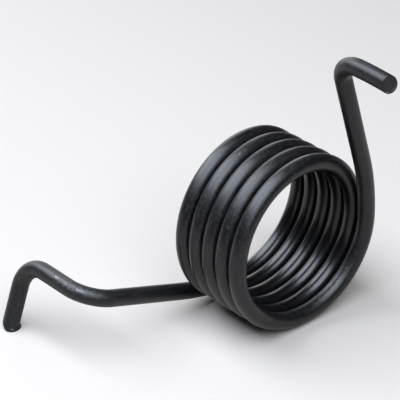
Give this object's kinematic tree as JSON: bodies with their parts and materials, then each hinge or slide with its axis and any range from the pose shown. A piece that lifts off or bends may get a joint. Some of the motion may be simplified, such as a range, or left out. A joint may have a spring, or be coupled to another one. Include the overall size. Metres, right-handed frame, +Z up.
{
  "type": "torsion spring",
  "caption": "Right-hand torsion spring of round wire in a black finish, with a hooked upright leg and a cranked lower leg.",
  "frame": {"origin": "middle of the coil, on the coil's axis", "axes": "+Z up as the spring lies at rest; +Y along the coil's axis, from the end with the upright leg to the end with the cranked leg; -X towards the cranked leg's tip"},
  "size_m": [0.0907, 0.0798, 0.0846],
  "materials": {
    "black_spring_wire": "satin black coating over steel wire, slightly mottled"
  },
  "bodies": {
    "root": {"torsion_spring": "black_spring_wire"}
  },
  "joints": []
}
